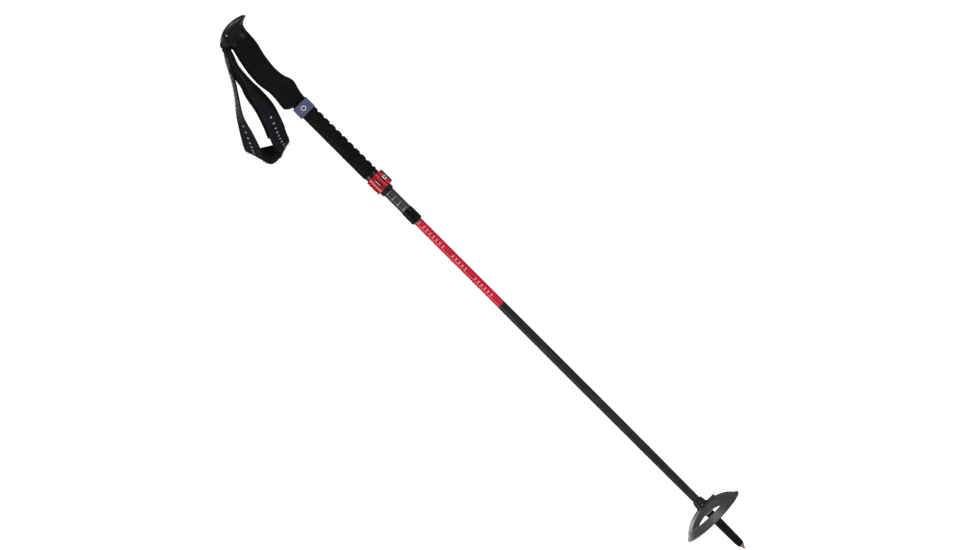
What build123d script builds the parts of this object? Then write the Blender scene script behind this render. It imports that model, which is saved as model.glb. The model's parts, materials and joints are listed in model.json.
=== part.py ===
"""Folding, length-adjustable ski pole for ski touring, drawn at full length with its tip on the floor.

The shaft axis is Z, the point of the tip is the origin, and the beak of the grip points to +X.
From the top down the pole is a grip tube, a marked tube that slides in it, a red tube that slides
in the marked tube, a middle tube and a lower tube. A cord runs inside and holds the joints shut.
Lengths are in millimetres.
"""
from build123d import *
import math
import os

# Stations up the shaft, worked out from the length that each section shows
LOWER_SECTION = 258.0        # point of the tip to the lower plug joint
MIDDLE_SECTION = 234.0       # between the two plug joints
RED_SHOWN = 166.0            # red tube showing below the collar
COLLAR_LENGTH = 22.0         # collar on the end of the marked tube
MARKS_SHOWN = 35.0           # marked tube showing above the collar
CLAMP_HEIGHT = 31.0          # clamp body and lever
RING_HEIGHT = 5.0            # trim ring over the clamp
FOAM_LENGTH = 142.0          # foam sleeve, up to the underside of the grip
GRIP_HEIGHT = 146.0          # underside of the grip to the crown of its cap

LOWER_JOINT_Z = LOWER_SECTION
UPPER_JOINT_Z = LOWER_JOINT_Z + MIDDLE_SECTION
COLLAR_Z = UPPER_JOINT_Z + RED_SHOWN
COLLAR_TOP_Z = COLLAR_Z + COLLAR_LENGTH
CLAMP_Z = COLLAR_TOP_Z + MARKS_SHOWN
RING_Z = CLAMP_Z + CLAMP_HEIGHT
FOAM_Z = RING_Z + RING_HEIGHT
GRIP_Z = FOAM_Z + FOAM_LENGTH
CROWN_Z = GRIP_Z + GRIP_HEIGHT

# Tubes
SLIDE_GAP = 0.05             # radial running clearance of a tube or pin in its bore
TUBE_R = 6.5                 # red, middle and lower tubes, outside
TUBE_WALL = 0.85
TUBE_BORE = TUBE_R - TUBE_WALL
ADJUST_WALL = 1.45           # marked tube
ADJUST_BORE = TUBE_R + SLIDE_GAP
ADJUST_R = ADJUST_BORE + ADJUST_WALL
GRIP_TUBE_WALL = 1.15
GRIP_TUBE_BORE = ADJUST_R + SLIDE_GAP
GRIP_TUBE_R = GRIP_TUBE_BORE + GRIP_TUBE_WALL
LOWER_END_R = 5.95           # lower tube where it tapers down to the tip holder
LOWER_END_WALL = 0.9
LOWER_TAPER = 95.0           # length of that taper
RED_OVERLAP = 75.0           # red tube hidden in the marked tube
ADJUST_OVERLAP = 223.0       # marked tube hidden above the bottom of the clamp
GRIP_TUBE_TOP_GAP = 25.0     # end of the grip tube below the crown

# Plug joints between the tubes
FERRULE_R = TUBE_BORE - SLIDE_GAP
FERRULE_WALL = 0.9
FERRULE_GLUED = 40.0
FERRULE_SHOWN = 35.0
PLUG_LENGTH = 14.0
PLUG_NOSE_R = 4.1
PLUG_SPIGOT = 8.0

# Cord and what holds it
CORD_R = 1.4
CORD_HOLE_R = 1.9
ANCHOR_LENGTH = 12.0
KNOT_R = 2.9
LOWER_ANCHOR_Z = 118.0

# Snap button
BUTTON_R = 2.4
BUTTON_HOLE_GAP = 0.1
BUTTON_PROUD = 1.1
BUTTON_BELOW_COLLAR = 0.4    # from the top of the button to the collar that it holds up
BUTTON_FLANGE_R = 3.1
BUTTON_FLANGE = 0.6
SPRING_THICK = 0.4
SPRING_HALF_WIDTH = 2.0
SPRING_LENGTH = 52.0
SPRING_FOOT = 6.0
BUTTON_Z = COLLAR_Z - BUTTON_BELOW_COLLAR - BUTTON_R

# Tip and basket
POINT_R = 1.6
INSERT_Z = 6.6
INSERT_TOP_Z = 9.5
INSERT_R = 4.2
INSERT_STEM_R = 3.2
INSERT_STEM = 12.0
HOLDER_NOSE_R = 5.3
HOLDER_CONE_R = 6.0          # where the blunt nose meets the slow taper
HOLDER_CONE_Z = 17.0
HOLDER_R = 6.5
HOLDER_TOP_Z = 99.5
HOLDER_SPIGOT = 10.5
HOLDER_BORE_R = 2.6
HUB_Z = 78.0
HUB_HEIGHT = 21.0
HUB_R = 10.2
HUB_GAP = 0.06
BASKET_R = 48.5              # rim of the basket, without its lip
RIM_Z = 65.5
BAND_TOP_R = 40.5            # where the crown of the basket turns down into its rim band
BAND_TOP_Z = 75.5
CROWN_TOP_Z = 86.5           # crown beside the hub
CROWN_MID_R = 27.0
CROWN_MID_Z = 83.0           # crown half way out to the band
DISH_THICK = 2.0
RIM_LIP = 1.8
WINDOW_IN_R = 14.5
WINDOW_APEX = 11.7           # where the two straight sides of the front opening would meet
WINDOW_HALF_ANGLE = 69.0     # from the middle of that opening to each of its sides
ARM_RIB_THICK = 2.0          # ribs under the two straight sides of the front opening
ARM_RIB_DEPTH = 7.0
BASKET_TURN = -7.0           # the basket turns freely, and rests at this angle
NOTCH_HALF_ANGLE = 38.0      # opening in the far side, through the rim, where the folded tubes lie
HOOK_REACH = 23.0
HOOK_HALF_WIDTH = 3.0
HOOK_SINK = 0.4
HOOK_RISE = 2.4
CLIP_Z = 74.0
CLIP_HEIGHT = 3.0
CLIP_DEPTH = 0.4             # depth of the groove that holds the clip

# Clamp
CLAMP_BODY_R = GRIP_TUBE_R + 1.2
CLAMP_SPLIT = 1.6
FOOT_RING = 9.0
EAR_X = GRIP_TUBE_R + 6.3
EAR_FRONT = 6.0
EAR_REAR = 7.2
EAR_HALF_HEIGHT = 10.5
SCREW_R = 1.45
PIVOT_X = GRIP_TUBE_R + SCREW_R + 0.15
PIVOT_Y = -GRIP_TUBE_R - 0.1
PIN_R = 1.5
NUT_R = 3.0
NUT_HALF_HEIGHT = 3.4
SCREW_HEAD_R = 2.8
SCREW_HEAD = 2.4
LEVER_IN_R = CLAMP_BODY_R + 0.5
LEVER_OUT_R = LEVER_IN_R + 2.2
LEVER_HALF_HEIGHT = 11.4
KNUCKLE_R = 2.9
LEVER_FREE_ANGLE = 172.0
WINDOW_HALF_WIDTH = 2.6
WINDOW_HALF_HEIGHT = 5.2
WINDOW_X = -1.8
CATCH_R = 1.3
CATCH_Y = -(GRIP_TUBE_R + CATCH_R + SLIDE_GAP)
LEVER_Z = CLAMP_Z + FOOT_RING - 1.3 + LEVER_HALF_HEIGHT

# Foam, band, grip and strap
FOAM_R = GRIP_TUBE_R + 2.7
GROOVES = 10
GROOVE_R = 1.5
BAND_HEIGHT = 17.0
BAND_WALL = 1.5
BAND_BELOW_GRIP = 3.0
GRIP_SECTIONS = [
    # height above the underside, back, front, half thickness
    (0.0, -12.5, 11.0, 12.0),
    (6.0, -20.5, 12.0, 14.0),
    (22.0, -20.0, 16.0, 15.0),
    (42.0, -20.6, 11.4, 14.6),
    (62.0, -22.4, 11.0, 14.8),
    (84.0, -20.6, 14.4, 14.6),
    (102.0, -16.8, 18.0, 14.0),
    (116.0, -13.4, 19.0, 13.4),
]
HEAD_Z = GRIP_Z + GRIP_SECTIONS[-1][0]
CAP_R = 28.3
CAP_HALF_WIDTH = 19.0
CAP_X = 4.8
CAP_EDGE_DROP = 7.5
CAP_PLATE = 2.0
CAP_Z = CROWN_Z - CAP_EDGE_DROP
STRAP_PIN_R = 2.0
STRAP_PIN_X = -5.6
STRAP_PIN_DROP = 11.4
MOUTH_X = -22.0
MOUTH_DROP = 22.5
WEB_THICK = 3.0
WEB_HALF_WIDTH = 8.0
FOLD_R = 2.2                 # round fold of the webbing where it leaves the mouth
STRAP_THICK = 3.4
SLOT_HALF = STRAP_PIN_R + WEB_THICK / 2 + 0.2
# Outlines of the loop as (x, z) from the mouth, each a closed smooth curve
STRAP_OUTER = [(-5.5, -5.5), (-16.2, -17), (-39.5, -57), (-65.6, -90), (-80, -118), (-71.7, -150),
               (-56.4, -160.5), (-35, -153), (-17.3, -135), (-8.5, -105), (-6.5, -75), (-7.0, -50),
               (-4.5, -26), (-2, -9)]
STRAP_INNER = [(-16.6, -34), (-35.7, -60), (-47, -84), (-58.7, -120), (-60, -133), (-50, -138), (-42, -130),
               (-34, -104), (-25, -68)]


def put(shape, name):
    """Write one node."""
    export_step(shape, f"parts/{name}.step")


def tube(outer_r, inner_r, low, high):
    """A plain tube about the shaft axis."""
    outside = Cylinder(outer_r, high - low, align=(Align.CENTER, Align.CENTER, Align.MIN))
    bore = Cylinder(inner_r, high - low + 2, align=(Align.CENTER, Align.CENTER, Align.MIN))
    return Pos(0, 0, low) * outside - Pos(0, 0, low - 1) * bore


def rod(radius, low, high, x=0.0, y=0.0):
    """A round bar parallel to the shaft axis."""
    bar = Cylinder(radius, high - low, align=(Align.CENTER, Align.CENTER, Align.MIN))
    return Pos(x, y, low) * bar


def block(low, high):
    """A box between two opposite corners."""
    size = [high[i] - low[i] for i in range(3)]
    middle = [(high[i] + low[i]) / 2 for i in range(3)]
    return Pos(*middle) * Box(*size)


def turned(points):
    """A solid of revolution about the shaft from (radius, height) points."""
    outline = Plane.XZ * Polyline(*[(r, z) for r, z in points], close=True)
    return revolve(make_face(outline), Axis.Z)


# ---------------------------------------------------------------- tubes
def lower_tube():
    end_bore = LOWER_END_R - LOWER_END_WALL
    step_z = LOWER_JOINT_Z - FERRULE_SHOWN - PLUG_LENGTH - 4
    points = [
        (LOWER_END_R, HOLDER_TOP_Z), (TUBE_R, HOLDER_TOP_Z + LOWER_TAPER), (TUBE_R, LOWER_JOINT_Z),
        (TUBE_BORE, LOWER_JOINT_Z), (TUBE_BORE, step_z), (end_bore, step_z - 6), (end_bore, HOLDER_TOP_Z),
    ]
    return turned(points)


def middle_tube():
    return tube(TUBE_R, TUBE_BORE, LOWER_JOINT_Z, UPPER_JOINT_Z)


def red_tube():
    hole_r = BUTTON_R + BUTTON_HOLE_GAP
    hole = Pos(0, -TUBE_R, BUTTON_Z) * Rot(90, 0, 0) * Cylinder(hole_r, 2 * TUBE_R - 4)
    return tube(TUBE_R, TUBE_BORE, UPPER_JOINT_Z, COLLAR_Z + RED_OVERLAP) - hole


def red_tube_plug():
    top = COLLAR_Z + RED_OVERLAP
    return rod(TUBE_BORE, top - 10, top) + rod(TUBE_R, top, top + 2) - rod(CORD_HOLE_R, top - 11, top + 3)


def adjust_tube():
    return tube(ADJUST_R, ADJUST_BORE, COLLAR_Z + 5, CLAMP_Z + ADJUST_OVERLAP)


def end_collar():
    """Ribbed sleeve glued on the end of the marked tube; its lip closes round the red tube."""
    outer = ADJUST_R + 0.85
    low_edge = COLLAR_Z
    seat = COLLAR_Z + 5
    points = [
        (ADJUST_BORE, low_edge), (outer - 0.8, low_edge), (outer, low_edge + 1.5),
        (outer, COLLAR_TOP_Z - 5), (ADJUST_R + 0.4, COLLAR_TOP_Z), (ADJUST_R, COLLAR_TOP_Z),
        (ADJUST_R, seat), (ADJUST_BORE, seat),
    ]
    body = turned(points)
    ribs = 16
    for i in range(ribs):
        groove = Pos(outer + 0.25, 0, low_edge + 8.5) * Box(1.2, 1.3, 12)
        body -= Rot(0, 0, 360 / ribs * i) * groove
    return body


def ferrule(joint_z, way):
    """Aluminium sleeve glued into the middle tube, standing out past its end in direction way."""
    glued_end = joint_z - way * FERRULE_GLUED
    free_end = joint_z + way * FERRULE_SHOWN
    glued = rod(TUBE_BORE, min(glued_end, joint_z), max(glued_end, joint_z))
    free = rod(FERRULE_R, min(joint_z, free_end), max(joint_z, free_end))
    bore = rod(FERRULE_R - FERRULE_WALL, min(glued_end, free_end) - 1, max(glued_end, free_end) + 1)
    return glued + free - bore


def joint_plug(joint_z, way):
    """Black nose on the end of a ferrule, which leads it into the next tube."""
    seat = joint_z + way * FERRULE_SHOWN
    nose = seat + way * PLUG_LENGTH
    neck = FERRULE_R - FERRULE_WALL
    root = seat - way * PLUG_SPIGOT
    points = [
        (CORD_HOLE_R, root), (neck, root), (neck, seat), (FERRULE_R, seat),
        (FERRULE_R, seat + way * 4), (PLUG_NOSE_R, nose - way * 1.5), (PLUG_NOSE_R - 1.0, nose),
        (CORD_HOLE_R, nose),
    ]
    return turned(points)


def upper_tube():
    return tube(GRIP_TUBE_R, GRIP_TUBE_BORE, CLAMP_Z + FOOT_RING, CROWN_Z - GRIP_TUBE_TOP_GAP)


# ---------------------------------------------------------------- cord
def cord_anchor(low, outer_r):
    return rod(outer_r, low, low + ANCHOR_LENGTH) - rod(CORD_HOLE_R, low - 1, low + ANCHOR_LENGTH + 1)


def cord_knot(z):
    return Pos(0, 0, z) * Sphere(KNOT_R) - rod(CORD_R, z - 10, z + 10)


def tension_cord():
    top = CLAMP_Z + ADJUST_OVERLAP + 2 * KNOT_R
    return rod(CORD_R, LOWER_ANCHOR_Z - 2 * KNOT_R, top)


# ---------------------------------------------------------------- snap button
def lock_button():
    inner_face = -math.sqrt(TUBE_BORE ** 2 - BUTTON_FLANGE_R ** 2) + 0.1
    outer_face = -(TUBE_R + BUTTON_PROUD)
    length = inner_face + 0.2 - outer_face
    stud = Pos(0, (inner_face + 0.2 + outer_face) / 2, BUTTON_Z) * Rot(90, 0, 0) * Cylinder(BUTTON_R, length)
    rim = stud.edges().filter_by(GeomType.CIRCLE).sort_by(Axis.Y)[0]
    stud = fillet(rim, 0.5)
    flange_y = inner_face + BUTTON_FLANGE / 2
    flange = Pos(0, flange_y, BUTTON_Z) * Rot(90, 0, 0) * Cylinder(BUTTON_FLANGE_R, BUTTON_FLANGE)
    return stud + flange


def button_spring():
    """Leaf that lies against the inside of the red tube and pushes the button out."""
    inner_face = -math.sqrt(TUBE_BORE ** 2 - BUTTON_FLANGE_R ** 2) + 0.1
    back = inner_face + BUTTON_FLANGE
    low = BUTTON_Z - BUTTON_FLANGE_R
    high = low + SPRING_LENGTH
    wall = -math.sqrt(TUBE_BORE ** 2 - SPRING_HALF_WIDTH ** 2)
    leaf = block((-SPRING_HALF_WIDTH, back, low), (SPRING_HALF_WIDTH, back + SPRING_THICK, high))
    foot = block((-SPRING_HALF_WIDTH, wall, high - SPRING_FOOT), (SPRING_HALF_WIDTH, back, high))
    return leaf + foot


# ---------------------------------------------------------------- tip and basket
def carbide_point():
    points = [(0, 0), (0.5, 0.3), (POINT_R, INSERT_Z - 2), (POINT_R, INSERT_Z + 6), (0, INSERT_Z + 6)]
    return turned(points)


def tip_insert():
    points = [
        (0, INSERT_Z - 2), (POINT_R + 0.7, INSERT_Z - 2), (POINT_R + 1.4, INSERT_Z),
        (INSERT_R, INSERT_TOP_Z - 2), (INSERT_R, INSERT_TOP_Z), (INSERT_STEM_R, INSERT_TOP_Z),
        (INSERT_STEM_R, INSERT_TOP_Z + INSERT_STEM), (0, INSERT_TOP_Z + INSERT_STEM),
    ]
    return turned(points) - rod(POINT_R, -1, INSERT_Z + 6)


def tip_holder():
    """Plastic ferrule of the tip; its spigot is glued up into the lower tube."""
    end_bore = LOWER_END_R - LOWER_END_WALL
    points = [
        (0, INSERT_TOP_Z), (HOLDER_NOSE_R - 0.5, INSERT_TOP_Z), (HOLDER_NOSE_R, INSERT_TOP_Z + 1.5),
        (HOLDER_CONE_R, HOLDER_CONE_Z), (HOLDER_R, 50), (HOLDER_R, HOLDER_TOP_Z - 1),
        (HOLDER_R - 0.6, HOLDER_TOP_Z),
        (end_bore, HOLDER_TOP_Z), (end_bore, HOLDER_TOP_Z + HOLDER_SPIGOT), (0, HOLDER_TOP_Z + HOLDER_SPIGOT),
    ]
    body = turned(points) - rod(INSERT_STEM_R, INSERT_TOP_Z - 1, INSERT_TOP_Z + INSERT_STEM)
    body -= rod(HOLDER_BORE_R, INSERT_TOP_Z + INSERT_STEM + 4, HOLDER_TOP_Z + HOLDER_SPIGOT + 1)
    seat = tube(HOLDER_R + 2, HOLDER_R - CLIP_DEPTH, CLIP_Z - 0.05, CLIP_Z + CLIP_HEIGHT + 0.05)
    return body - seat


def basket_clip():
    """Spring ring in the holder's groove, on which the basket rests and turns."""
    ring = tube(HOLDER_R + 1.5, HOLDER_R - CLIP_DEPTH, CLIP_Z, CLIP_Z + CLIP_HEIGHT)
    return ring - block((0, -2, CLIP_Z - 1), (HOLDER_R + 3, 2, CLIP_Z + CLIP_HEIGHT + 1))


def basket():
    """Domed snow basket: a wing on each side, a window in front, a notch behind, and a stepped hub."""
    bore = HOLDER_R + HUB_GAP
    root_r = HUB_R - 1
    shell = Plane.XZ * make_face(
        ThreePointArc((root_r, CROWN_TOP_Z), (CROWN_MID_R, CROWN_MID_Z), (BAND_TOP_R, BAND_TOP_Z))
        + Line((BAND_TOP_R, BAND_TOP_Z), (BASKET_R, RIM_Z + 1.2))
        + Line((BASKET_R, RIM_Z + 1.2), (BASKET_R + RIM_LIP, RIM_Z + 1.0))
        + Line((BASKET_R + RIM_LIP, RIM_Z + 1.0), (BASKET_R + RIM_LIP, RIM_Z))
        + Line((BASKET_R + RIM_LIP, RIM_Z), (BASKET_R - DISH_THICK, RIM_Z))
        + Line((BASKET_R - DISH_THICK, RIM_Z), (BAND_TOP_R - DISH_THICK, BAND_TOP_Z - DISH_THICK))
        + ThreePointArc((BAND_TOP_R - DISH_THICK, BAND_TOP_Z - DISH_THICK),
                        (CROWN_MID_R - 1, CROWN_MID_Z - DISH_THICK),
                        (root_r, CROWN_TOP_Z - DISH_THICK - 1))
        + Line((root_r, CROWN_TOP_Z - DISH_THICK - 1), (root_r, CROWN_TOP_Z)))
    dome = revolve(shell, Axis.Z)
    low = RIM_Z - 5
    high = HUB_Z + HUB_HEIGHT

    def wedge(apex):
        half_width = BASKET_R * math.tan(math.radians(WINDOW_HALF_ANGLE))
        outline = Polyline((0, -apex), (half_width, -apex - BASKET_R),
                           (-half_width, -apex - BASKET_R), close=True)
        return extrude(Pos(0, 0, low) * make_face(outline), high - low, dir=(0, 0, 1))

    window = wedge(WINDOW_APEX)
    rib_apex = WINDOW_APEX - ARM_RIB_THICK / math.sin(math.radians(WINDOW_HALF_ANGLE))
    under = CROWN_TOP_Z - DISH_THICK, CROWN_MID_Z - DISH_THICK, BAND_TOP_Z - DISH_THICK
    rib_end_r = BAND_TOP_R - DISH_THICK
    layer = make_face(
        ThreePointArc((root_r, under[0]), (CROWN_MID_R, under[1]), (rib_end_r, under[2]))
        + Line((rib_end_r, under[2]), (rib_end_r, under[2] - ARM_RIB_DEPTH / 2))
        + ThreePointArc((rib_end_r, under[2] - ARM_RIB_DEPTH / 2), (CROWN_MID_R, under[1] - ARM_RIB_DEPTH),
                        (root_r, under[0] - ARM_RIB_DEPTH))
        + Line((root_r, under[0] - ARM_RIB_DEPTH), (root_r, under[0])))
    ribs = revolve(Plane.XZ * layer, Axis.Z) & (wedge(rib_apex) - window)
    dome += ribs
    dome -= window & tube(BAND_TOP_R - 1, WINDOW_IN_R, low, high)
    dome -= ring_sector(WINDOW_IN_R, BASKET_R + 5, 90 - NOTCH_HALF_ANGLE, 90 + NOTCH_HALF_ANGLE, low, high)
    hub = [
        (bore, HUB_Z), (HUB_R - 1.5, HUB_Z), (HUB_R, HUB_Z + 1.5), (HUB_R, CROWN_TOP_Z + 3),
        (HUB_R - 1.2, CROWN_TOP_Z + 4),
        (HUB_R - 1.2, high - 4), (HUB_R - 2.2, high - 3), (HUB_R - 2.2, high), (bore, high),
    ]
    hook_low = (HUB_R - 2, -HOOK_HALF_WIDTH, CROWN_TOP_Z - HOOK_SINK)
    hook = block(hook_low, (HOOK_REACH, HOOK_HALF_WIDTH, CROWN_TOP_Z + HOOK_RISE))
    body = dome + turned(hub) + hook - rod(bore, HUB_Z - 5, high + 5)
    return Rot(0, 0, BASKET_TURN) * body


def ring_sector(inner, outer, start, end, low, high):
    """An arc-shaped block about the shaft, between two angles in degrees."""
    middle = (start + end) / 2
    reach = outer * 1.6
    wedge = Polyline(
        (0, 0), (reach * math.cos(math.radians(start)), reach * math.sin(math.radians(start))),
        (reach * math.cos(math.radians(middle)), reach * math.sin(math.radians(middle))),
        (reach * math.cos(math.radians(end)), reach * math.sin(math.radians(end))), close=True)
    slab = extrude(Pos(0, 0, low) * make_face(wedge), high - low, dir=(0, 0, 1))
    return slab & tube(outer, inner, low, high)


# ---------------------------------------------------------------- clamp


def clamp_body():
    """Split plastic collar: a foot that grips the marked tube and a sleeve glued on the grip tube."""
    sleeve_z = CLAMP_Z + FOOT_RING
    foot = tube(CLAMP_BODY_R - 0.2, ADJUST_R + SLIDE_GAP, CLAMP_Z, sleeve_z)
    foot -= tube(CLAMP_BODY_R + 3, CLAMP_BODY_R - 1.4, CLAMP_Z - 1, CLAMP_Z + 1.6)
    sleeve = tube(CLAMP_BODY_R, GRIP_TUBE_R, sleeve_z, RING_Z)
    ears = block((6, -EAR_FRONT, LEVER_Z - EAR_HALF_HEIGHT), (EAR_X, EAR_REAR, LEVER_Z + EAR_HALF_HEIGHT))
    edges = ears.edges().filter_by(Axis.Z).sort_by(Axis.X)[2:]
    ears = fillet(edges, 1.8)
    ears -= rod(GRIP_TUBE_R, CLAMP_Z - 1, RING_Z + 1)
    body = foot + sleeve + ears
    slot_low = -CLAMP_SPLIT / 2
    body -= block((5, slot_low, CLAMP_Z - 1), (EAR_X + 2, slot_low + CLAMP_SPLIT, RING_Z + 1))
    hole = Pos(PIVOT_X, 0, LEVER_Z) * Rot(90, 0, 0) * Cylinder(SCREW_R + SLIDE_GAP, 30)
    return body - hole - catch_pin()


def catch_pin():
    """Small steel pin set in the clamp body, on which the lever snaps shut."""
    reach = WINDOW_HALF_HEIGHT - 0.6
    return rod(CATCH_R, LEVER_Z - reach, LEVER_Z + reach, WINDOW_X, CATCH_Y)


def clamp_lever():
    """Red lever: two knuckles round the pivot pin, a curved plate round the front, a lifted free end."""
    low = LEVER_Z - LEVER_HALF_HEIGHT
    high = LEVER_Z + LEVER_HALF_HEIGHT
    pivot_angle = math.degrees(math.atan2(PIVOT_Y, PIVOT_X))
    plate = ring_sector(LEVER_IN_R, LEVER_OUT_R, LEVER_FREE_ANGLE - 360, pivot_angle, low, high)
    knuckles = rod(KNUCKLE_R, low, high, PIVOT_X, PIVOT_Y)
    lip_angle = math.radians(LEVER_FREE_ANGLE)
    lip_x = (LEVER_OUT_R - 0.9) * math.cos(lip_angle)
    lip_y = (LEVER_OUT_R - 0.9) * math.sin(lip_angle)
    lip = rod(1.3, low, high, lip_x, lip_y)
    body = plate + knuckles + lip
    body -= rod(PIN_R + SLIDE_GAP, low - 1, high + 1, PIVOT_X, PIVOT_Y)
    gap = NUT_HALF_HEIGHT + 0.3
    body -= block((PIVOT_X - 4.4, PIVOT_Y - 6, LEVER_Z - gap), (PIVOT_X + 6, PIVOT_Y + 6, LEVER_Z + gap))
    window_low = (WINDOW_X - WINDOW_HALF_WIDTH, -LEVER_OUT_R - 2, LEVER_Z - WINDOW_HALF_HEIGHT)
    body -= block(window_low, (WINDOW_X + WINDOW_HALF_WIDTH, -5, LEVER_Z + WINDOW_HALF_HEIGHT))
    return body - tube(LEVER_IN_R, 2, low - 1, high + 1)


def lever_pin():
    pin = rod(PIN_R, LEVER_Z - LEVER_HALF_HEIGHT, LEVER_Z + LEVER_HALF_HEIGHT, PIVOT_X, PIVOT_Y)
    return pin - screw_bore()


def screw_bore():
    return Pos(PIVOT_X, PIVOT_Y + 3, LEVER_Z) * Rot(90, 0, 0) * Cylinder(SCREW_R + SLIDE_GAP, 12)


def barrel_nut():
    body = rod(NUT_R, LEVER_Z - NUT_HALF_HEIGHT, LEVER_Z + NUT_HALF_HEIGHT, PIVOT_X, PIVOT_Y)
    body -= rod(PIN_R, LEVER_Z - 10, LEVER_Z + 10, PIVOT_X, PIVOT_Y)
    return body - screw_bore()


def clamp_screw():
    """Cross screw whose head bears on the rear ear; turning it sets how hard the lever clamps."""
    head_y = EAR_REAR + 0.1
    tip_y = PIVOT_Y - 1.0
    shank = Pos(PIVOT_X, (head_y + tip_y) / 2, LEVER_Z) * Rot(90, 0, 0) * Cylinder(SCREW_R, head_y - tip_y)
    head = Pos(PIVOT_X, head_y + SCREW_HEAD / 2, LEVER_Z) * Rot(90, 0, 0) * Cylinder(SCREW_HEAD_R, SCREW_HEAD)
    rim = head.edges().filter_by(GeomType.CIRCLE).sort_by(Axis.Y)[-1]
    head = fillet(rim, 0.5)
    slot = Pos(PIVOT_X, head_y + SCREW_HEAD, LEVER_Z) * Box(2 * SCREW_HEAD_R + 1, 1.6, 0.9)
    return shank + head - slot


def clamp_ring():
    return tube(GRIP_TUBE_R + 1.5, GRIP_TUBE_R, RING_Z, FOAM_Z)


# ---------------------------------------------------------------- foam, band, grip
def foam_sleeve():
    """Foam lower grip, grooved across its front."""
    body = tube(FOAM_R, GRIP_TUBE_R, FOAM_Z, GRIP_Z)
    grooved = FOAM_LENGTH - BAND_HEIGHT - BAND_BELOW_GRIP
    pitch = grooved / (GROOVES + 0.5)
    for i in range(GROOVES):
        height = FOAM_Z + pitch * (i + 0.75)
        body -= Pos(FOAM_R + 0.35, 0, height) * Rot(90, 0, 0) * Cylinder(GROOVE_R, 2 * FOAM_R + 4)
    return body


def keeper_band():
    """Hook-and-loop band that ties the folded sections together, closed round the foam."""
    high = GRIP_Z - BAND_BELOW_GRIP
    low = high - BAND_HEIGHT
    ring = tube(FOAM_R + BAND_WALL, FOAM_R, low, high)
    overlap = ring_sector(FOAM_R + BAND_WALL, FOAM_R + 2 * BAND_WALL, 150, 245, low, high)
    return ring + overlap


def grip_body():
    """Dense foam hand grip, swelling at the heel of the hand and leaning forward to the head."""
    faces = []
    for height, back, front, half in GRIP_SECTIONS:
        ellipse = Ellipse((front - back) / 2, half)
        faces.append(Pos((front + back) / 2, 0, GRIP_Z + height) * ellipse)
    body = loft(faces)
    return body - rod(GRIP_TUBE_R, GRIP_Z - 1, CROWN_Z)


def grip_head():
    """Hard head of the grip, flaring out to the cap, with the mouth for the wrist strap in its back."""
    neck = GRIP_SECTIONS[-1]
    levels = [
        (HEAD_Z, neck[1], neck[2], neck[3]),
        (HEAD_Z + 8, neck[1] - 4.0, neck[2] + 1.3, neck[3] + 1.1),
        (HEAD_Z + 15, CAP_X - CAP_R + 0.8, CAP_X + CAP_R - 9.0, CAP_HALF_WIDTH - 2.0),
        (CAP_Z, CAP_X - CAP_R + 0.4, CAP_X + CAP_R - 0.4, CAP_HALF_WIDTH - 0.4),
    ]
    faces = []
    for height, back, front, half in levels:
        faces.append(Pos((front + back) / 2, 0, height) * Ellipse((front - back) / 2, half))
    body = loft(faces)
    body -= rod(GRIP_TUBE_R, HEAD_Z - 1, CROWN_Z - GRIP_TUBE_TOP_GAP)
    body -= strap_passage()
    pin_z = CROWN_Z - STRAP_PIN_DROP
    return body - Pos(STRAP_PIN_X, 0, pin_z) * Rot(90, 0, 0) * Cylinder(STRAP_PIN_R, 60)


def strap_passage():
    """Slanting slot from the strap pin out through the back of the head."""
    width = 2 * WEB_HALF_WIDTH + 1
    pin_z = CROWN_Z - STRAP_PIN_DROP
    mouth_z = CROWN_Z - MOUTH_DROP
    run = math.hypot(STRAP_PIN_X - MOUTH_X, pin_z - mouth_z)
    slope = math.degrees(math.atan2(pin_z - mouth_z, STRAP_PIN_X - MOUTH_X))
    slot = Pos(STRAP_PIN_X, 0, pin_z) * Rot(0, -slope, 0) * Pos(-run / 2 - 5, 0, 0)
    slot = slot * Box(run + 10, width, 2 * SLOT_HALF)
    pocket = Pos(STRAP_PIN_X, 0, pin_z) * Rot(90, 0, 0) * Cylinder(SLOT_HALF, width)
    return slot + pocket


def strap_pin():
    pin_z = CROWN_Z - STRAP_PIN_DROP
    half = CAP_HALF_WIDTH - 3.4
    return Pos(STRAP_PIN_X, 0, pin_z) * Rot(90, 0, 0) * Cylinder(STRAP_PIN_R, 2 * half)


def head_cap():
    """Domed cap on the head."""
    edge_top = CAP_Z + CAP_PLATE
    shoulder = (CAP_R * 0.6, CAP_Z + (CROWN_Z - CAP_Z) * 0.78)
    outline = (
        Line((0, CAP_Z), (CAP_R, CAP_Z)) + Line((CAP_R, CAP_Z), (CAP_R, edge_top - 0.8))
        + Line((CAP_R, edge_top - 0.8), (CAP_R - 0.8, edge_top))
        + ThreePointArc((CAP_R - 0.8, edge_top), shoulder, (0, CROWN_Z)) + Line((0, CROWN_Z), (0, CAP_Z)))
    body = revolve(Plane.XZ * make_face(outline), Axis.Z)
    flat = scale(body, by=(1, CAP_HALF_WIDTH / CAP_R, 1))
    return Pos(CAP_X, 0, 0) * flat


# ---------------------------------------------------------------- strap
def strap_end():
    """Webbing inside the head, doubled round the strap pin."""
    pin_z = CROWN_Z - STRAP_PIN_DROP
    mouth_z = CROWN_Z - MOUTH_DROP
    half = STRAP_PIN_R + WEB_THICK / 2
    slope = math.degrees(math.atan2(pin_z - mouth_z, STRAP_PIN_X - MOUTH_X))
    run = math.hypot(STRAP_PIN_X - MOUTH_X, pin_z - mouth_z) - FOLD_R - 0.6
    eye = Pos(STRAP_PIN_X, 0, pin_z) * Rot(90, 0, 0) * Cylinder(half, 2 * WEB_HALF_WIDTH)
    tail = Pos(STRAP_PIN_X, 0, pin_z) * Rot(0, -slope, 0) * Pos(-run / 2, 0, 0)
    tail = tail * Box(run, 2 * WEB_HALF_WIDTH, WEB_THICK)
    pin = Pos(STRAP_PIN_X, 0, pin_z) * Rot(90, 0, 0) * Cylinder(STRAP_PIN_R, 60)
    return eye + tail - pin


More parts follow.
